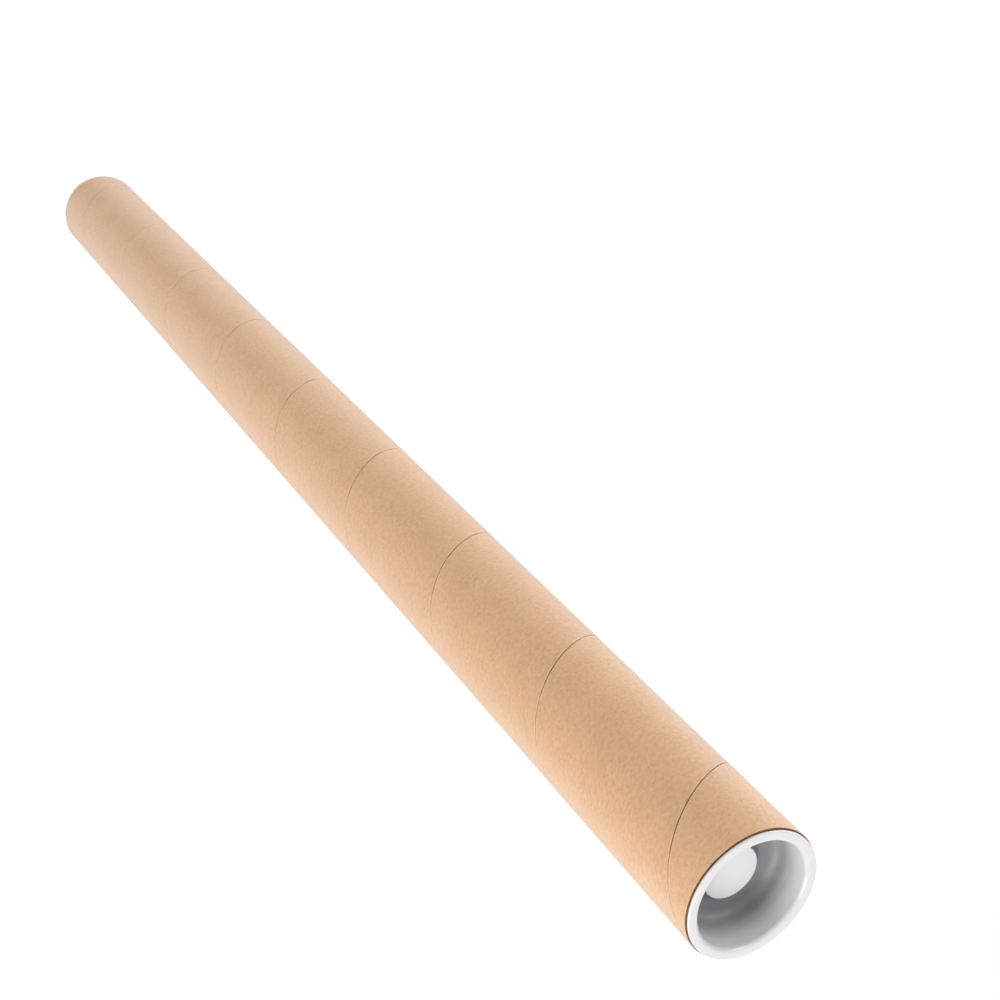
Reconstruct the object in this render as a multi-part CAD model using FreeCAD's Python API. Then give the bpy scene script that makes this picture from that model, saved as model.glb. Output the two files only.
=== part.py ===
import FreeCAD, Part
import math
import os

# A spirally wound cardboard mailing tube that stands on end, closed by a push-in cap at each end.
# All sizes are in millimetres. The foot of the lower cap is at z = 0 and +Z runs up the tube's axis.

# Cardboard tube
tube_outer_radius = 25.0
tube_wall = 2.0
tube_length = 750.0
cut_edge_chamfer = 0.25

# Butt seam between the turns of the outer ply, a right-handed helix
ply_width = 76.0
ply_thickness = 0.35
seam_gap = 0.45
seam_below_top_at_front = 21.0

# Moulded cap: flange, bevelled underneath so that its rim stands off the tube's cut end
flange_inset = 0.55
flange_thickness = 1.6
rim_thickness = 0.8
rim_overhang = 0.6
flange_chamfer = 0.4
lip_chamfer = 1.6

# Moulded cap: plug and its two push-fit rings
plug_wall = 2.1
plug_clearance = 0.45
plug_draft_deg = 1.5
plug_lead_in = 0.9
ring_clearance = 0.06
ring_height = 1.8
ring_depths = (4.0, 9.0)

# Moulded cap: recessed cup, and the thick disc in the middle of its floor
cup_depth = 13.5
cup_draft_deg = 3.5
cup_corner_chamfer = 2.2
floor_thickness = 1.5
disc_radius = 10.3
disc_rise = 2.4

# Sizes that follow
bore_radius = tube_outer_radius - tube_wall
tube_bottom = flange_thickness
tube_top = tube_bottom + tube_length
flange_radius = tube_outer_radius - flange_inset
plug_radius = bore_radius - plug_clearance
plug_length = cup_depth + floor_thickness
plug_draft = math.tan(math.radians(plug_draft_deg))
cup_radius = plug_radius - plug_wall
cup_draft = math.tan(math.radians(cup_draft_deg))
ring_radius = bore_radius - ring_clearance


def point(radius, height):
    """A point of a section that is turned about the Z axis."""
    return FreeCAD.Vector(radius, 0.0, height)


def turned(corners):
    """Solid of revolution about the Z axis through (radius, height, chamfer) corners."""
    outline = []
    for index in range(len(corners)):
        radius, height, chamfer = corners[index]
        here = point(radius, height)
        if chamfer == 0.0:
            outline.append(here)
            continue
        for neighbour in (corners[index - 1], corners[(index + 1) % len(corners)]):
            along_side = (point(neighbour[0], neighbour[1]) - here).normalize()
            outline.append(here + along_side * chamfer)
    outline.append(outline[0])
    face = Part.Face(Part.makePolygon(outline))
    return face.revolve(FreeCAD.Vector(0, 0, 0), FreeCAD.Vector(0, 0, 1), 360.0)


def seam_cutter():
    """Square-cut helical ridge as deep as the outer ply and as wide as the gap between its turns."""
    girth = 2.0 * math.pi * tube_outer_radius
    pitch = ply_width * girth / math.sqrt(girth ** 2 - ply_width ** 2)
    top_crossing = tube_top - seam_below_top_at_front
    turns_below = math.ceil((top_crossing - tube_bottom) / pitch)
    helix_start = top_crossing - turns_below * pitch
    turns_above = math.ceil((tube_top - top_crossing) / pitch)
    helix = Part.makeLongHelix(pitch, (turns_below + turns_above) * pitch, tube_outer_radius)
    # The gap is measured square to the seam, so it is taller along the axis
    half_height = 0.5 * seam_gap * pitch / ply_width
    inner = tube_outer_radius - ply_thickness
    outer = tube_outer_radius + ply_thickness
    section = Part.makePolygon([
        point(inner, -half_height),
        point(outer, -half_height),
        point(outer, half_height),
        point(inner, half_height),
        point(inner, -half_height),
    ])
    cutter = Part.Wire(helix.Edges).makePipeShell([section], True, True)
    cutter.rotate(FreeCAD.Vector(0, 0, 0), FreeCAD.Vector(0, 0, 1), -90.0)
    cutter.translate(FreeCAD.Vector(0, 0, helix_start))
    return cutter


def make_tube():
    """Wound board: a plain bore, cut ends with softened outer edges, and the outer ply's seam."""
    blank = turned([
        (bore_radius, tube_bottom, 0.0),
        (tube_outer_radius, tube_bottom, cut_edge_chamfer),
        (tube_outer_radius, tube_top, cut_edge_chamfer),
        (bore_radius, tube_top, 0.0),
    ])
    return blank.cut(seam_cutter())


def plug_radius_at(depth):
    """Outside radius of the drafted plug at a depth below the flange's seat."""
    return plug_radius - plug_draft * depth


def cup_radius_at(depth):
    """Inside radius of the drafted cup at a depth below the flange's seat."""
    return cup_radius - cup_draft * depth


def ring_corners(depth):
    """One push-fit ring on the plug: a ridge with two sloping sides, from the flange's side inwards."""
    half_height = 0.5 * ring_height
    return [
        (plug_radius_at(depth - half_height), half_height - depth, 0.0),
        (ring_radius, -depth, 0.0),
        (plug_radius_at(depth + half_height), -half_height - depth, 0.0),
    ]


def make_cap():
    """Thin-walled plug, seated at z = 0 with its flange above and its cup going down into the tube."""
    disc_top = disc_rise - cup_depth
    corners = [
        (0.0, disc_top, 0.0),
        (disc_radius, disc_top, 0.0),
        (disc_radius + cup_draft * disc_rise, -cup_depth, 0.0),
        (cup_radius_at(cup_depth), -cup_depth, cup_corner_chamfer),
        (cup_radius_at(-flange_thickness), flange_thickness, lip_chamfer),
        (flange_radius, flange_thickness, flange_chamfer),
        (flange_radius, flange_thickness - rim_thickness, 0.0),
        (flange_radius - rim_overhang, 0.0, 0.0),
        (plug_radius, 0.0, 0.0),
    ]
    for depth in ring_depths:
        corners += ring_corners(depth)
    corners += [
        (plug_radius_at(plug_length - plug_lead_in), plug_lead_in - plug_length, 0.0),
        (plug_radius_at(plug_length) - plug_lead_in, -plug_length, 0.0),
        (0.0, -plug_length, 0.0),
    ]
    return turned(corners)


def make_top_cap():
    """The cap seated on the tube's upper end."""
    cap = make_cap()
    cap.translate(FreeCAD.Vector(0, 0, tube_top))
    return cap


def make_bottom_cap():
    """The same cap turned over and seated on the tube's lower end."""
    cap = make_cap()
    cap.rotate(FreeCAD.Vector(0, 0, 0), FreeCAD.Vector(1, 0, 0), 180.0)
    cap.translate(FreeCAD.Vector(0, 0, tube_bottom))
    return cap


os.makedirs("parts", exist_ok=True)
make_tube().exportStep("parts/tube.step")
make_top_cap().exportStep("parts/top_cap.step")
make_bottom_cap().exportStep("parts/bottom_cap.step")
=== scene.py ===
import math

import bmesh
import bpy
import numpy as np
from mathutils import Matrix, Vector


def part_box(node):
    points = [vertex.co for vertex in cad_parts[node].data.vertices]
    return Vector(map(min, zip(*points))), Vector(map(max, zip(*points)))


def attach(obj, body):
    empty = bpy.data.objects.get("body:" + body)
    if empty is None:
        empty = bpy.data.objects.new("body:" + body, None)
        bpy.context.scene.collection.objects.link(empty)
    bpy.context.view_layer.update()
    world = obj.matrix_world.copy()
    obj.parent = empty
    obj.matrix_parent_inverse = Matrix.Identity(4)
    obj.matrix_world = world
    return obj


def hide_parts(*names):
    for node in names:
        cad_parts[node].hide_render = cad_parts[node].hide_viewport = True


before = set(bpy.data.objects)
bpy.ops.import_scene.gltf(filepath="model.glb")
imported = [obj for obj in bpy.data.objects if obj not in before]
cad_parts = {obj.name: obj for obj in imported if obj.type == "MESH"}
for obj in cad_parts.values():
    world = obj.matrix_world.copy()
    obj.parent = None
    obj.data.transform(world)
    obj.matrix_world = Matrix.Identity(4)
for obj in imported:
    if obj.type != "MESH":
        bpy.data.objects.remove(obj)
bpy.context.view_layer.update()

# ---------------------------------------------------------------------------------------------------
# Sizes, in metres
# ---------------------------------------------------------------------------------------------------

MM = 0.001
FULL_TURN = 2.0 * math.pi

# Places that come from the frame
tube_low, tube_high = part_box("tube")
top_cap_low, top_cap_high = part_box("top_cap")
TUBE_FOOT = tube_low.z
TUBE_TOP = tube_high.z
TUBE_RADIUS = tube_high.x
FLANGE_THICKNESS = top_cap_high.z - TUBE_TOP
FLANGE_RADIUS = top_cap_high.x
PLUG_LENGTH = TUBE_TOP - top_cap_low.z

# Board and its outer ply
WALL = 2.0 * MM
BORE = TUBE_RADIUS - WALL
CUT_ROUND = 0.25 * MM
BOARD_PLIES = 5
PLY_WIDTH = 76.0 * MM
PLY_THICKNESS = 0.35 * MM
SEAM_GAP = 0.45 * MM
SEAM_BELOW_TOP = 21.0 * MM
GIRTH = FULL_TURN * TUBE_RADIUS
SEAM_PITCH = PLY_WIDTH * GIRTH / math.sqrt(GIRTH ** 2 - PLY_WIDTH ** 2)
LEAD = math.asin(PLY_WIDTH / GIRTH)
FRONT = -0.5 * math.pi

# Relief of the wound surface
SKIN_DROP = 0.05 * MM
EDGE_LIFT = 0.05 * MM
EDGE_LIFT_REACH = 0.7 * MM
RIM_SOFTNESS = 0.04 * MM

# Wandering along the seam: longest waves, seeds, and the share by which the gap changes
GAP_WAVE = 61.0 * MM
GAP_SEED = 11
GAP_CHANGE = 0.33
LIFT_WAVE = 83.0 * MM
LOWER_LIFT_SEED = 21
UPPER_LIFT_SEED = 22

# Moulded cap
RIM_THICKNESS = 0.8 * MM
RIM_OVERHANG = 0.6 * MM
PLUG_RADIUS = BORE - 0.45 * MM
PLUG_DRAFT = math.tan(math.radians(1.5))
CUP_RADIUS = PLUG_RADIUS - 2.1 * MM
CUP_DRAFT = math.tan(math.radians(3.5))
CUP_DEPTH = 13.5 * MM
DISC_RADIUS = 10.3 * MM
DISC_RISE = 2.4 * MM
RING_RADIUS = BORE - 0.06 * MM
RING_DEPTHS = (4.0 * MM, 9.0 * MM)
RING_HALF = 0.9 * MM
LEAD_IN = 0.9 * MM

# Fineness of the wound and turned surfaces
TUBE_COLUMNS = 192
CAP_COLUMNS = 256

# Material numbers on the tube, and the cells of a cut end's quarter round, which keep the outer paper
OUTER_PLY, CUT_BOARD, BORE_LINER = 0, 1, 2
ROUND_CELLS = 3


# ---------------------------------------------------------------------------------------------------
# Meshes
# ---------------------------------------------------------------------------------------------------

def grid_faces(columns, rows):
    """Two triangles for each cell of a grid whose points are numbered column by column."""
    column, row = np.meshgrid(np.arange(columns - 1), np.arange(rows - 1), indexing="ij")
    a = (column * rows + row).ravel()
    b = a + rows
    return np.concatenate([np.stack([a, b, b + 1], axis=1), np.stack([a, b + 1, a + 1], axis=1)])


def closed_object(name, points, triangles, kinds, uv, attributes):
    """Object at the origin from a surface whose edges meet: points (n, 3), triangles (m, 3), a material
    number for each triangle, a UV pair and named values for each point. Doubled points are joined."""
    mesh = bpy.data.meshes.new(name)
    mesh.vertices.add(len(points))
    mesh.vertices.foreach_set("co", points.astype(np.float32).ravel())
    mesh.loops.add(triangles.size)
    mesh.loops.foreach_set("vertex_index", triangles.astype(np.int32).ravel())
    mesh.polygons.add(len(triangles))
    mesh.polygons.foreach_set("loop_start", np.arange(0, triangles.size, 3, dtype=np.int32))
    mesh.polygons.foreach_set("use_smooth", np.ones(len(triangles), dtype=bool))
    mesh.polygons.foreach_set("material_index", kinds.astype(np.int32))
    mesh.update(calc_edges=True)
    mesh.uv_layers.new(name="UVMap").data.foreach_set("uv", uv[triangles.ravel()].astype(np.float32).ravel())
    for key, values in attributes.items():
        mesh.attributes.new(key, "FLOAT", "POINT").data.foreach_set("value", values.astype(np.float32))
    joined = bmesh.new()
    joined.from_mesh(mesh)
    bmesh.ops.remove_doubles(joined, verts=joined.verts, dist=0.002 * MM)
    joined.to_mesh(mesh)
    joined.free()
    piece = bpy.data.objects.new(name, mesh)
    bpy.context.scene.collection.objects.link(piece)
    return piece


def wander(distance, longest, seed, octaves=5):
    """Smooth irregular value from about -1 to 1 along a distance: a sum of sines whose waves get shorter
    by 1.9 each time and weaker by 1.5, with seeded phases."""
    phases = np.random.default_rng(seed).uniform(0.0, FULL_TURN, octaves)
    total = np.zeros_like(distance)
    for octave in range(octaves):
        wave = longest / 1.9 ** octave
        total = total + 1.5 ** -octave * np.sin(FULL_TURN * distance / wave + phases[octave])
    return 0.6 * total


# ---------------------------------------------------------------------------------------------------
# Wound tube
# ---------------------------------------------------------------------------------------------------

def seam_height(angle):
    """Height of the seam at an unwrapped angle: one pitch a turn, crossing the front below the top."""
    return TUBE_TOP - SEAM_BELOW_TOP + SEAM_PITCH * (angle - FRONT) / FULL_TURN


def along_seam(angle):
    """Length of seam up to an unwrapped angle."""
    return angle * TUBE_RADIUS / math.cos(LEAD)


def half_gap(angle):
    """Half the seam's gap, square to it, wandering by about a third along its length."""
    change = np.clip(wander(along_seam(angle), GAP_WAVE, GAP_SEED), -1.0, 1.0)
    return 0.5 * SEAM_GAP * (1.0 + GAP_CHANGE * change)


def edge_lift(angle, seed):
    """How far a ply's edge stands proud of the wound surface, from nothing to the full lift."""
    return EDGE_LIFT * (0.5 + 0.5 * np.clip(wander(along_seam(angle), LIFT_WAVE, seed), -1.0, 1.0))


def skin_radius(angle, across):
    """Radius of the outer ply at an unwrapped angle and a distance across the ply from its lower seam:
    the wound radius plus a lift that dies away exponentially from each edge, less the ply's thickness
    inside the gap, with a straight slope between the two as wide as the rim's softness."""
    from_lower = across - half_gap(angle)
    from_upper = PLY_WIDTH - across - half_gap(angle + FULL_TURN)
    fade_lower = np.exp(-np.maximum(from_lower, 0.0) / EDGE_LIFT_REACH)
    fade_upper = np.exp(-np.maximum(from_upper, 0.0) / EDGE_LIFT_REACH)
    lift = edge_lift(angle, LOWER_LIFT_SEED) * fade_lower
    lift = lift + edge_lift(angle + FULL_TURN, UPPER_LIFT_SEED) * fade_upper
    sunk = np.clip(0.5 - 0.5 * np.minimum(from_lower, from_upper) / RIM_SOFTNESS, 0.0, 1.0)
    return TUBE_RADIUS - SKIN_DROP + (1.0 - sunk) * np.minimum(lift, EDGE_LIFT) - sunk * PLY_THICKNESS


def radius_at(angle, height):
    """Radius of the outer ply at an angle and a height, on the turn that covers that height."""
    turns = np.floor((height - seam_height(angle)) / SEAM_PITCH)
    unwrapped = angle + turns * FULL_TURN
    return skin_radius(unwrapped, (height - seam_height(unwrapped)) * PLY_WIDTH / SEAM_PITCH)


def around(radius, height, turn):
    """Points at a radius, a height and an angle."""
    return np.stack([radius * np.cos(turn), radius * np.sin(turn), height], axis=-1)


def wound_skin():
    """The outer ply as one strip that winds up the tube: columns follow the angle and rows run across
    the ply, closest near its two edges. The strip's last row is its first row one turn further on, and
    heights beyond the cut ends are held at them."""
    turns_below = math.ceil((seam_height(FRONT) - TUBE_FOOT) / SEAM_PITCH) + 1
    turns_above = math.ceil((TUBE_TOP - seam_height(FRONT)) / SEAM_PITCH)
    count = TUBE_COLUMNS * (turns_below + turns_above) + 1
    angle = FRONT + FULL_TURN * (np.arange(count) / TUBE_COLUMNS - turns_below)
    rim = RIM_SOFTNESS * np.array([-1.0, -0.5, 0.0, 0.5, 1.0])
    paper = np.array([0.15, 0.4, 0.9, 2.0, 5.0, 12.0, 22.0]) * MM

    def from_edge(gap):
        """Distances from the middle of a gap: two in its floor, five up its rim, the rest on the paper."""
        floor_rows = gap[:, None] * np.array([0.0, 0.5])
        return np.concatenate([floor_rows, gap[:, None] + np.concatenate([rim, paper])], axis=1)

    lower = from_edge(half_gap(angle))
    upper = PLY_WIDTH - from_edge(half_gap(angle + FULL_TURN))[:, ::-1]
    across = np.concatenate([lower, np.full((count, 1), 0.5 * PLY_WIDTH), upper], axis=1)
    seam = seam_height(angle)[:, None]
    height = np.clip(seam + across * SEAM_PITCH / PLY_WIDTH, TUBE_FOOT + CUT_ROUND, TUBE_TOP - CUT_ROUND)
    across = (height - seam) * PLY_WIDTH / SEAM_PITCH
    turn = angle[:, None] + np.zeros_like(across)
    points = around(radius_at(turn, height), height, turn)
    along = turn * TUBE_RADIUS * math.cos(LEAD) + height * math.sin(LEAD)
    uv = np.stack([along, across], axis=2)
    return points.reshape(-1, 3), uv.reshape(-1, 2), grid_faces(*across.shape)


def cut_end_section():
    """Section of a cut end from the skin inwards: distances in from the skin as shares of the wall, and
    how far below the end they lie. A quarter round, then the plies as shallow rounded steps."""
    round_turn = 0.5 * math.pi * np.array([0.25, 0.5, 0.75])
    round_in = CUT_ROUND * (1.0 - np.cos(round_turn))
    round_below = CUT_ROUND * (1.0 - np.sin(round_turn))
    steps = 6 * BOARD_PLIES
    face_in = np.linspace(CUT_ROUND, WALL - 0.1 * MM, steps + 1)
    face_below = 0.04 * MM * np.abs(np.cos(math.pi * BOARD_PLIES * np.arange(steps + 1) / steps)) ** 4
    corner_in = [WALL - 0.03 * MM, WALL]
    corner_below = [0.07 * MM, 0.15 * MM]
    return (np.concatenate([round_in, face_in, corner_in]) / WALL,
            np.concatenate([round_below, face_below, corner_below]))


def ends_and_bore():
    """The rest of the board's section carried once round: top cut end, bore, and lower cut end."""
    angle = FRONT + FULL_TURN * np.arange(TUBE_COLUMNS + 1) / TUBE_COLUMNS
    inward, below = cut_end_section()
    top_edge = radius_at(angle, np.full_like(angle, TUBE_TOP - CUT_ROUND))[:, None]
    foot_edge = radius_at(angle, np.full_like(angle, TUBE_FOOT + CUT_ROUND))[:, None]
    inward = np.concatenate([[0.0], inward])
    below = np.concatenate([[CUT_ROUND], below])
    bore_rows = np.linspace(TUBE_TOP - 1.0 * MM, TUBE_FOOT + 1.0 * MM, 40)
    radius = np.concatenate([
        top_edge + (BORE - top_edge) * inward,
        np.full((len(angle), len(bore_rows)), BORE),
        (foot_edge + (BORE - foot_edge) * inward)[:, ::-1]], axis=1)
    height = np.concatenate([TUBE_TOP - below, bore_rows, (TUBE_FOOT + below)[::-1]])
    height = height[None, :] + np.zeros_like(radius)
    turn = angle[:, None] + np.zeros_like(radius)
    kind = np.full(radius.shape[1] - 1, BORE_LINER)
    kind[:len(inward) - 1] = CUT_BOARD
    kind[-len(inward) + 1:] = CUT_BOARD
    kind[:ROUND_CELLS] = OUTER_PLY
    kind[-ROUND_CELLS:] = OUTER_PLY
    uv = np.stack([turn * BORE, height], axis=2)
    cells = len(angle) - 1
    kinds = np.tile(np.tile(kind, cells), 2)
    return around(radius, height, turn).reshape(-1, 3), uv.reshape(-1, 2), grid_faces(*radius.shape), kinds


def wound_tube():
    """The whole board tube as one closed surface: outer ply, two cut ends and the bore."""
    skin_points, skin_uv, skin_faces = wound_skin()
    rest_points, rest_uv, rest_faces, rest_kinds = ends_and_bore()
    skin_depth = TUBE_RADIUS - SKIN_DROP - np.hypot(skin_points[:, 0], skin_points[:, 1])
    depth = np.concatenate([np.clip(skin_depth / PLY_THICKNESS, 0.0, 1.0), np.zeros(len(rest_points))])
    return closed_object(
        "wound_board_tube", np.concatenate([skin_points, rest_points]),
        np.concatenate([skin_faces, rest_faces + len(skin_points)]),
        np.concatenate([np.full(len(skin_faces), OUTER_PLY), rest_kinds]),
        np.concatenate([skin_uv, rest_uv]), {"gap_depth": depth})


# ---------------------------------------------------------------------------------------------------
# Moulded caps
# ---------------------------------------------------------------------------------------------------

def rounded_profile(corners):
    """Open profile through (radius, height, rounding) corners: each rounding is a tangent arc of seven
    points, and each straight run has a point close to either end and others every 0.7 mm."""
    places = [Vector((radius, height)) for radius, height, _ in corners]
    points = [[tuple(places[0])]]
    last = places[0]
    for index in range(1, len(corners)):
        here = places[index]
        rounding = corners[index][2]
        arc = [tuple(here)]
        start = end = here
        if rounding > 0.0:
            to_before = (places[index - 1] - here).normalized()
            to_after = (places[index + 1] - here).normalized()
            half = 0.5 * to_before.angle(to_after)
            middle = here + (to_before + to_after).normalized() * rounding / math.sin(half)
            start = here + to_before * rounding / math.tan(half)
            end = here + to_after * rounding / math.tan(half)
            share = np.linspace(0.0, 1.0, 7)[:, None]
            spread = math.pi - 2.0 * half
            ray_start = np.array(start - middle)
            ray_end = np.array(end - middle)
            arc = np.array(middle) + (np.sin((1.0 - share) * spread) * ray_start
                                      + np.sin(share * spread) * ray_end) / math.sin(spread)
        run = (start - last).length
        close = min(0.04 * MM, 0.2 * run)
        stops = np.concatenate([[close], np.arange(0.7 * MM, run - 0.7 * MM, 0.7 * MM), [run - close]])
        points.append(np.array(last) + stops[:, None] / run * np.array(start - last))
        points.append(arc)
        last = end
    return np.concatenate([np.array(part).reshape(-1, 2) for part in points])


def plug_radius_at(depth):
    """Outside radius of the drafted plug."""
    return PLUG_RADIUS - PLUG_DRAFT * depth


def cap_profile():
    """Half section of the cap with its seat at height 0: disc, floor, cup wall, lip, flange, plug, foot."""
    disc_top = DISC_RISE - CUP_DEPTH
    corners = [
        (0.0, disc_top, 0.0),
        (DISC_RADIUS, disc_top, 0.35 * MM),
        (DISC_RADIUS + CUP_DRAFT * DISC_RISE, -CUP_DEPTH, 0.4 * MM),
        (CUP_RADIUS - CUP_DRAFT * CUP_DEPTH, -CUP_DEPTH, 3.6 * MM),
        (CUP_RADIUS + CUP_DRAFT * FLANGE_THICKNESS, FLANGE_THICKNESS, 1.7 * MM),
        (FLANGE_RADIUS, FLANGE_THICKNESS, 0.42 * MM),
        (FLANGE_RADIUS, FLANGE_THICKNESS - RIM_THICKNESS, 0.2 * MM),
        (FLANGE_RADIUS - RIM_OVERHANG, 0.0, 0.12 * MM),
        (PLUG_RADIUS, 0.0, 0.1 * MM),
    ]
    for depth in RING_DEPTHS:
        corners += [
            (plug_radius_at(depth - RING_HALF), RING_HALF - depth, 0.25 * MM),
            (RING_RADIUS, -depth, 0.3 * MM),
            (plug_radius_at(depth + RING_HALF), -RING_HALF - depth, 0.25 * MM),
        ]
    corners += [
        (plug_radius_at(PLUG_LENGTH - LEAD_IN), LEAD_IN - PLUG_LENGTH, 0.3 * MM),
        (plug_radius_at(PLUG_LENGTH) - LEAD_IN, -PLUG_LENGTH, 0.3 * MM),
        (0.0, -PLUG_LENGTH, 0.0),
    ]
    return rounded_profile(corners)


def cup_shade_share(radius, height):
    """Share of painted shade in the cup: 0 on the flange, lip, disc and outside, rising down the cup's
    wall with a smooth step to 1 on its floor. Small margins make sure of the points on a boundary."""
    down = np.clip(-height / CUP_DEPTH, 0.0, 1.0)
    smooth_step = down * down * (3.0 - 2.0 * down)
    disc_top = DISC_RISE - CUP_DEPTH
    on_disc = (radius < DISC_RADIUS + 0.1 * MM) & (height > disc_top - 0.5 * MM)
    wall_radius = CUP_RADIUS - CUP_DRAFT * down * CUP_DEPTH
    in_cup = (radius < wall_radius + 0.2 * MM) & (height > -CUP_DEPTH - 0.2 * MM)
    return np.where(on_disc | ~in_cup, 0.0, smooth_step)


def moulded_cap(name, seat, up):
    """The profile turned once round the axis, with its seat at a height and its flange up or down."""
    radius, height = cap_profile().T
    angle = up * FULL_TURN * np.arange(CAP_COLUMNS + 1) / CAP_COLUMNS
    turn = angle[:, None] + np.zeros(len(radius))
    radii = radius[None, :] + np.zeros_like(turn)
    heights = height[None, :] + np.zeros_like(turn)
    run = np.concatenate([[0.0], np.cumsum(np.hypot(np.diff(radius), np.diff(height)))])
    uv = np.stack([turn * CUP_RADIUS, run[None, :] + np.zeros_like(turn)], axis=2)
    faces = grid_faces(*turn.shape)[:, ::-1]
    return closed_object(
        name, around(radii, seat + up * heights, turn).reshape(-1, 3), faces, np.zeros(len(faces)),
        uv.reshape(-1, 2), {"cup_shade": cup_shade_share(radii, heights).ravel()})


# ---------------------------------------------------------------------------------------------------
# Materials
# ---------------------------------------------------------------------------------------------------

class Nodes:
    """Short hand for one node tree: makes nodes, sets their sockets and links them."""

    def __init__(self, tree):
        self.tree = tree

    def add(self, kind, settings=None, **sockets):
        node = self.tree.nodes.new(kind)
        for key, value in (settings or {}).items():
            setattr(node, key, value)
        for key, value in sockets.items():
            self.plug(node.inputs[key.replace("_", " ")], value)
        return node

    def plug(self, socket, value):
        if isinstance(value, bpy.types.NodeSocket):
            self.tree.links.new(value, socket)
        else:
            socket.default_value = value

    def math(self, operation, *values, clamp=False):
        node = self.tree.nodes.new("ShaderNodeMath")
        node.operation = operation
        node.use_clamp = clamp
        for socket, value in zip(node.inputs, values):
            self.plug(socket, value)
        return node.outputs[0]

    def ramp(self, value, low, high, to_low=0.0, to_high=1.0):
        node = self.add("ShaderNodeMapRange", {"interpolation_type": "SMOOTHSTEP"},
                        Value=value, From_Min=low, From_Max=high, To_Min=to_low, To_Max=to_high)
        return node.outputs["Result"]

    def mix(self, factor, first, second):
        node = self.tree.nodes.new("ShaderNodeMix")
        node.data_type = "RGBA"
        self.plug(node.inputs[0], factor)
        self.plug(node.inputs[6], first)
        self.plug(node.inputs[7], second)
        return node.outputs[2]

    def noise(self, vector, scale, detail=2.0, roughness=0.5):
        node = self.add("ShaderNodeTexNoise", Vector=vector, Scale=scale, Detail=detail, Roughness=roughness)
        return node.outputs["Fac"]

    def stretched(self, vector, scale, turn=0.0):
        node = self.add("ShaderNodeMapping", Vector=vector)
        node.inputs["Scale"].default_value = scale
        node.inputs["Rotation"].default_value = (0.0, 0.0, turn)
        return node.outputs["Vector"]


def new_group(name, inputs, outputs):
    """Shader node group with named sockets, each given as (name, socket type, default)."""
    tree = bpy.data.node_groups.new(name, "ShaderNodeTree")
    for label, kind, default in inputs:
        socket = tree.interface.new_socket(label, in_out="INPUT", socket_type=kind)
        if default is not None:
            socket.default_value = default
    for label, kind in outputs:
        tree.interface.new_socket(label, in_out="OUTPUT", socket_type=kind)
    nodes = Nodes(tree)
    return nodes, nodes.add("NodeGroupInput").outputs, nodes.add("NodeGroupOutput").inputs


def paper_fibre_group():
    """Kraft pulp: soft clouds, mottle and crossed fibres from a vector in metres that follows the paper.
    Puts out a tone around 0.5, a warm-to-cool shift, sparse dark specks, and a height for bump."""
    nodes, given, out = new_group(
        "paper_fibres",
        [("Vector", "NodeSocketVector", None), ("Fibre Strength", "NodeSocketFloat", 0.5)],
        [("Tone", "NodeSocketFloat"), ("Warmth", "NodeSocketFloat"),
         ("Speck", "NodeSocketFloat"), ("Height", "NodeSocketFloat")])
    flat = given["Vector"]
    clouds = nodes.noise(flat, 70.0, 2.0, 0.5)
    mottle = nodes.noise(nodes.stretched(flat, (0.85, 1.0, 1.0)), 640.0, 2.0, 0.6)
    grain = nodes.noise(flat, 1500.0, 2.0, 0.65)
    slant = math.radians(20.0)
    fibre_a = nodes.noise(nodes.stretched(flat, (500.0, 1900.0, 1.0), slant), 1.0, 2.0, 0.55)
    fibre_b = nodes.noise(nodes.stretched(flat, (560.0, 2100.0, 1.0), -slant), 1.0, 2.0, 0.55)
    fibres = nodes.math("SUBTRACT", fibre_a, fibre_b)
    tone = nodes.math("MULTIPLY_ADD", nodes.math("SUBTRACT", clouds, 0.5), 0.4, 0.5)
    tone = nodes.math("MULTIPLY_ADD", nodes.math("SUBTRACT", mottle, 0.5), 1.1, tone)
    tone = nodes.math("MULTIPLY_ADD", nodes.math("SUBTRACT", grain, 0.5), 0.8, tone)
    tone = nodes.math("MULTIPLY_ADD", fibres, given["Fibre Strength"], tone, clamp=True)
    shift = nodes.noise(nodes.stretched(flat, (1.0, 1.3, 1.0), 0.6), 190.0, 2.0, 0.5)
    spots = nodes.add("ShaderNodeTexVoronoi", {"feature": "F1"}, Vector=flat, Scale=260.0, Randomness=1.0)
    chance = nodes.add("ShaderNodeSeparateColor", Color=spots.outputs["Color"]).outputs["Red"]
    near = nodes.ramp(spots.outputs["Distance"], 0.05, 0.11, 1.0, 0.0)
    speck = nodes.math("MULTIPLY", near, nodes.math("GREATER_THAN", chance, 0.86))
    height = nodes.math("ADD", nodes.math("MULTIPLY", fibres, 0.8), nodes.math("MULTIPLY", grain, 0.5))
    for label, value in (("Tone", tone), ("Warmth", shift), ("Speck", speck), ("Height", height)):
        nodes.plug(out[label], value)
    return nodes.tree


def new_material(name, **constants):
    """Material whose Principled shader has the given constants on its own sockets."""
    material = bpy.data.materials.new(name)
    material.use_nodes = True
    nodes = Nodes(material.node_tree)
    shader = material.node_tree.nodes["Principled BSDF"]
    for key, value in constants.items():
        shader.inputs[key.replace("_", " ")].default_value = value
    return material, nodes, shader


def finish_shader(nodes, shader, colour, roughness, height, strength, distance):
    """Links a colour, a roughness, and a bump of the given strength and depth to a shader."""
    nodes.plug(shader.inputs["Base Color"], colour)
    nodes.plug(shader.inputs["Roughness"], roughness)
    bump = nodes.add("ShaderNodeBump", Height=height, Strength=strength, Distance=distance)
    nodes.plug(shader.inputs["Normal"], bump.outputs["Normal"])


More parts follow.
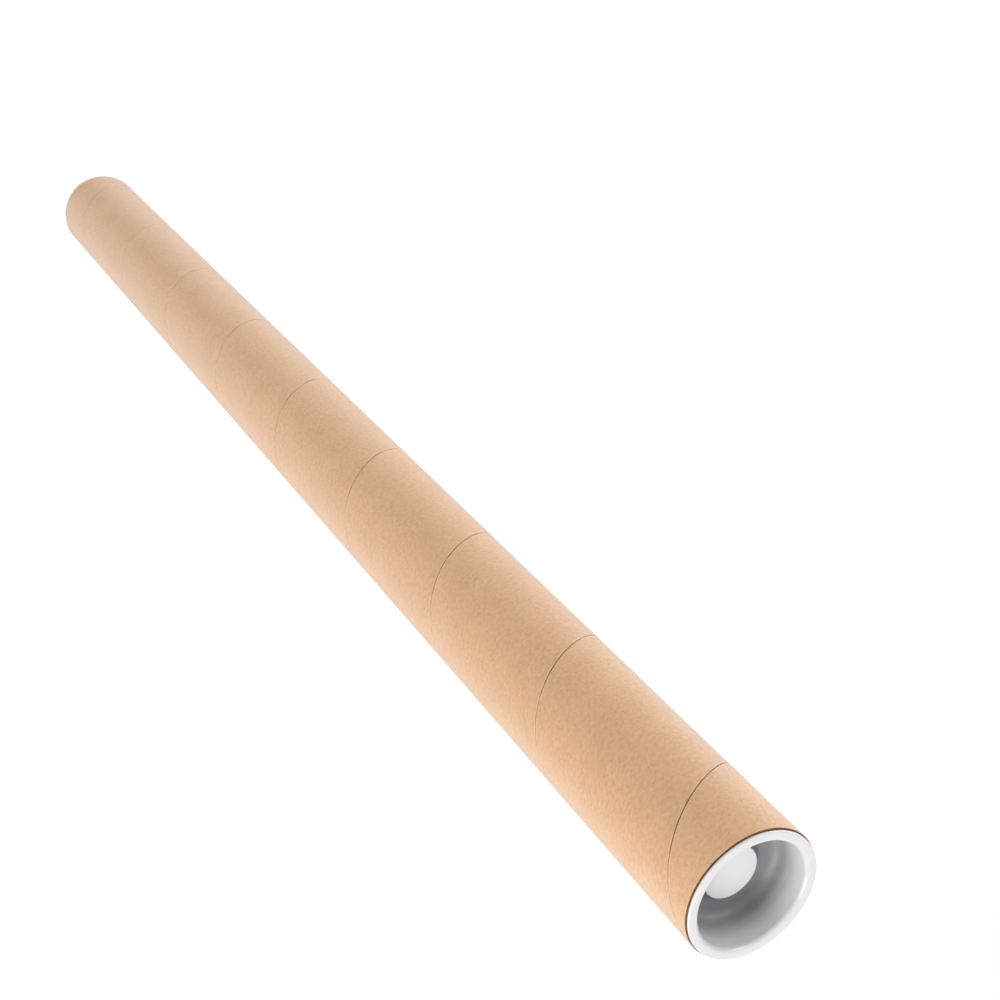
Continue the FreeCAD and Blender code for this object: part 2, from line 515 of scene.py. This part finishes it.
def paper_pattern(nodes, fibre_group, fibre_strength):
    """The fibre group placed on the piece's own UV map."""
    uv = nodes.add("ShaderNodeUVMap", {"uv_map": "UVMap"}).outputs["UV"]
    pulp = nodes.add("ShaderNodeGroup", {"node_tree": fibre_group}, Vector=uv, Fibre_Strength=fibre_strength)
    return uv, pulp.outputs


def kraft_paper(fibre_group):
    """Outer ply: natural kraft with a darker open seam, and a painted highlight, paler paper in patches,
    along its two edges.
    """
    material, nodes, shader = new_material(
        "kraft_paper", Sheen_Weight=0.6, Sheen_Roughness=0.45, IOR=1.45, Specular_IOR_Level=0.8)
    uv, pulp = paper_pattern(nodes, fibre_group, 0.3)
    colour = nodes.mix(pulp["Tone"], (0.55, 0.28, 0.127, 1.0), (0.80, 0.50, 0.265, 1.0))
    colour = nodes.mix(nodes.ramp(pulp["Warmth"], 0.35, 0.65, 0.0, 0.3), colour, (0.76, 0.425, 0.235, 1.0))
    colour = nodes.mix(nodes.math("MULTIPLY", pulp["Speck"], 0.35), colour, (0.26, 0.15, 0.08, 1.0))
    across = nodes.add("ShaderNodeSeparateXYZ", Vector=uv).outputs["Y"]
    to_edge = nodes.math("MINIMUM", across, nodes.math("SUBTRACT", PLY_WIDTH, across))
    # Painted highlight: paler paper along both ply edges, broken into patches, for the light the lifted
    # edges catch.
    edge_highlight = nodes.ramp(to_edge, 0.3 * MM, 0.9 * MM, 1.0, 0.0)
    patches = nodes.ramp(nodes.noise(uv, 210.0, 3.0, 0.6), 0.4, 0.6)
    colour = nodes.mix(nodes.math("MULTIPLY", nodes.math("MULTIPLY", edge_highlight, patches), 0.6),
                       colour, (0.84, 0.58, 0.36, 1.0))
    sunk = nodes.add("ShaderNodeAttribute", {"attribute_name": "gap_depth"}).outputs["Fac"]
    colour = nodes.mix(nodes.ramp(sunk, 0.3, 0.9), colour, (0.25, 0.13, 0.065, 1.0))
    roughness = nodes.ramp(pulp["Tone"], 0.2, 0.8, 0.62, 0.52)
    finish_shader(nodes, shader, colour, roughness, pulp["Height"], 0.35, 0.06 * MM)
    return material


def cut_board(fibre_group):
    """Sawn end of the board: pulp in rings, one for each ply, with dark glue lines between. The rim that
    stands out beyond the flange is painted darker, a painted shade of the crease under the flange."""
    material, nodes, shader = new_material("cut_board", Sheen_Weight=0.1, Sheen_Roughness=0.5)
    place = nodes.add("ShaderNodeTexCoord").outputs["Object"]
    flat = nodes.add("ShaderNodeVectorMath", {"operation": "MULTIPLY"})
    nodes.plug(flat.inputs[0], place)
    flat.inputs[1].default_value = (1.0, 1.0, 0.0)
    length = nodes.add("ShaderNodeVectorMath", {"operation": "LENGTH"})
    nodes.plug(length.inputs[0], flat.outputs["Vector"])
    inward = nodes.math("DIVIDE", nodes.math("SUBTRACT", length.outputs["Value"], BORE), WALL / BOARD_PLIES)
    pulp = nodes.add("ShaderNodeGroup", {"node_tree": fibre_group}, Vector=place, Fibre_Strength=0.3).outputs
    from_line = nodes.math("ABSOLUTE", nodes.math("SUBTRACT", nodes.math("FRACT", inward), 0.5))
    glue = nodes.ramp(from_line, 0.36, 0.5)
    fresh = nodes.mix(pulp["Tone"], (0.34, 0.23, 0.14, 1.0), (0.56, 0.41, 0.27, 1.0))
    fresh = nodes.mix(nodes.math("MULTIPLY", glue, 0.6), fresh, (0.17, 0.10, 0.06, 1.0))
    # Painted shade: darker brown on the rim beyond the flange, for the shade of the crease under it.
    crease_shade = nodes.mix(pulp["Tone"], (0.11, 0.062, 0.035, 1.0), (0.25, 0.15, 0.085, 1.0))
    covered = FLANGE_RADIUS - RIM_OVERHANG
    beyond_flange = nodes.ramp(length.outputs["Value"], covered - 0.1 * MM, covered + 0.2 * MM)
    colour = nodes.mix(beyond_flange, fresh, crease_shade)
    roughness = nodes.ramp(pulp["Tone"], 0.2, 0.8, 0.92, 0.8)
    finish_shader(nodes, shader, colour, roughness, pulp["Height"], 0.6, 0.1 * MM)
    return material


def bore_liner(fibre_group):
    """Inner ply: greyer, duller paper with its own closed seam drawn as a fine dark line."""
    material, nodes, shader = new_material("bore_liner", Sheen_Weight=0.1, Sheen_Roughness=0.5)
    uv, pulp = paper_pattern(nodes, fibre_group, 0.4)
    colour = nodes.mix(pulp["Tone"], (0.38, 0.245, 0.145, 1.0), (0.56, 0.39, 0.25, 1.0))
    split = nodes.add("ShaderNodeSeparateXYZ", Vector=uv).outputs
    climb = nodes.math("MULTIPLY", split["X"], SEAM_PITCH / (FULL_TURN * BORE))
    place = nodes.math("FRACT", nodes.math("DIVIDE", nodes.math("SUBTRACT", split["Y"], climb), SEAM_PITCH))
    from_line = nodes.math("ABSOLUTE", nodes.math("SUBTRACT", place, 0.5))
    line = nodes.ramp(from_line, 0.0012, 0.003, 0.7, 0.0)
    colour = nodes.mix(line, colour, (0.14, 0.08, 0.04, 1.0))
    roughness = nodes.ramp(pulp["Tone"], 0.2, 0.8, 0.9, 0.8)
    finish_shader(nodes, shader, colour, roughness, pulp["Height"], 0.35, 0.06 * MM)
    return material


def cap_plastic():
    """White polyethylene: glossy, with soft clouds and a faint skin from the mould. Down the cup's wall and
    on its floor it is painted grey, a painted shade for light lost through the moulding into the dark bore,
    and it is duller there."""
    material, nodes, shader = new_material("cap_plastic", IOR=1.5, Specular_IOR_Level=0.5)
    place = nodes.add("ShaderNodeTexCoord").outputs["Object"]
    cup_shade = nodes.add("ShaderNodeAttribute", {"attribute_name": "cup_shade"}).outputs["Fac"]
    cloud = nodes.noise(place, 120.0, 2.0, 0.5)
    skin = nodes.noise(place, 900.0, 3.0, 0.55)
    # Painted shade: grey deepening down the cup's wall to its floor.
    colour = nodes.mix(cup_shade, (0.81, 0.795, 0.80, 1.0), (0.25, 0.25, 0.27, 1.0))
    colour = nodes.mix(nodes.ramp(cloud, 0.3, 0.7, 0.0, 0.06), colour, (0.66, 0.64, 0.65, 1.0))
    polish = nodes.ramp(skin, 0.3, 0.7, 0.16, 0.24)
    roughness = nodes.math("MULTIPLY_ADD", nodes.ramp(cup_shade, 0.3, 0.9), 0.3, polish)
    finish_shader(nodes, shader, colour, roughness, skin, 0.08, 0.05 * MM)
    return material


# ---------------------------------------------------------------------------------------------------
# Floor, camera and light
# ---------------------------------------------------------------------------------------------------

# The floor's half side in metres, its grey, and the light it gives off where it is seen
FLOOR_HALF_SIDE = 6.0
FLOOR_GREY = 0.35
FLOOR_LIFT = 0.75

# The camera's place in tube radii behind and above the tube's top, its turns in degrees, its lens in mm
CAMERA_BACK = 17.50
CAMERA_UP = 12.58
CAMERA_HEADING = 5.0
CAMERA_TILT = 38.81
CAMERA_ROLL = 132.5
CAMERA_LENS = 59.03
CAMERA_SENSOR = 36.0

# The surround's light on the object, and how far below the tube's top the lamps aim, in metres
WORLD_STRENGTH = 0.48
AIM_BELOW_TOP = 0.2

# Lamps: name, place from the tube's top, width and height, power in watts
SOFT_LIGHTS = (
    ("side_left", (-1.3, 0.45, -0.4), (1.1, 0.7), 10.5),
    ("side_right", (1.3, 0.45, -0.4), (1.1, 0.7), 5.7),
    ("front", (0.0, -1.5, -0.35), (1.4, 0.6), 9.3),
    ("high_left", (-1.1, 0.1, 0.9), (0.6, 0.6), 5.0),
    ("high_right", (1.1, -0.1, 0.9), (0.6, 0.6), 13.5),
)


def seen_share(nodes):
    """1 for rays from the camera, a mirror or glass, 0 for the rest."""
    path = nodes.add("ShaderNodeLightPath").outputs
    seen = nodes.math("MAXIMUM", path["Is Camera Ray"], path["Is Glossy Ray"])
    return nodes.math("MAXIMUM", seen, path["Is Transmission Ray"])


def white_floor():
    """Wide plain floor at the object's lowest point, lifted to white where it is seen."""
    side = FLOOR_HALF_SIDE
    mesh = bpy.data.meshes.new("floor")
    mesh.from_pydata([(-side, -side, 0.0), (side, -side, 0.0), (side, side, 0.0), (-side, side, 0.0)],
                     [], [(0, 1, 2, 3)])
    floor = bpy.data.objects.new("floor", mesh)
    bpy.context.scene.collection.objects.link(floor)
    material, nodes, shader = new_material("floor_white", Roughness=0.9, Specular_IOR_Level=0.1)
    shader.inputs["Base Color"].default_value = (FLOOR_GREY, FLOOR_GREY, FLOOR_GREY, 1.0)
    shader.inputs["Emission Color"].default_value = (1.0, 1.0, 1.0, 1.0)
    nodes.plug(shader.inputs["Emission Strength"], nodes.math("MULTIPLY", seen_share(nodes), FLOOR_LIFT))
    mesh.materials.append(material)


def make_camera():
    """Camera at the photograph's place: turned about the upright, tilted, and rolled on its own axis."""
    data = bpy.data.cameras.new("camera")
    data.sensor_width = CAMERA_SENSOR
    data.lens = CAMERA_LENS
    camera = bpy.data.objects.new("camera", data)
    bpy.context.scene.collection.objects.link(camera)
    heading = Matrix.Rotation(math.radians(CAMERA_HEADING), 4, "Z")
    tilt = Matrix.Rotation(math.radians(CAMERA_TILT), 4, "X")
    roll = Matrix.Rotation(math.radians(CAMERA_ROLL), 4, "Z")
    height = TUBE_TOP + CAMERA_UP * TUBE_RADIUS
    place = Matrix.Translation((0.0, -CAMERA_BACK * TUBE_RADIUS, height))
    camera.matrix_world = place @ heading @ tilt @ roll
    bpy.context.scene.camera = camera


def make_lights():
    """Even white surround with large soft lamps that face the middle of the tube's upper half."""
    world = bpy.data.worlds.new("surround")
    bpy.context.scene.world = world
    world.use_nodes = True
    nodes = Nodes(world.node_tree)
    background = world.node_tree.nodes["Background"]
    background.inputs["Color"].default_value = (1.0, 1.0, 1.0, 1.0)
    strength = nodes.math("MULTIPLY_ADD", seen_share(nodes), 1.0 - WORLD_STRENGTH, WORLD_STRENGTH)
    nodes.plug(background.inputs["Strength"], strength)
    aim = Vector((0.0, 0.0, TUBE_TOP - AIM_BELOW_TOP))
    for name, offset, size, power in SOFT_LIGHTS:
        data = bpy.data.lights.new(name, "AREA")
        data.shape = "RECTANGLE"
        data.size, data.size_y = size
        data.energy = power
        lamp = bpy.data.objects.new(name, data)
        bpy.context.scene.collection.objects.link(lamp)
        lamp.location = Vector((0.0, 0.0, TUBE_TOP)) + Vector(offset)
        lamp.rotation_euler = (aim - lamp.location).to_track_quat("-Z", "Y").to_euler()


# ---------------------------------------------------------------------------------------------------
# The scene
# ---------------------------------------------------------------------------------------------------

bpy.context.scene.view_settings.view_transform = "Standard"
fibres = paper_fibre_group()

tube = wound_tube()
for finish in (kraft_paper(fibres), cut_board(fibres), bore_liner(fibres)):
    tube.data.materials.append(finish)
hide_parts("tube")
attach(tube, "tube")

plastic = cap_plastic()
for node, seat, up in (("top_cap", TUBE_TOP, 1.0), ("bottom_cap", TUBE_FOOT, -1.0)):
    cap = moulded_cap("moulded_" + node, seat, up)
    cap.data.materials.append(plastic)
    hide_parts(node)
    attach(cap, node)

white_floor()
make_camera()
make_lights()
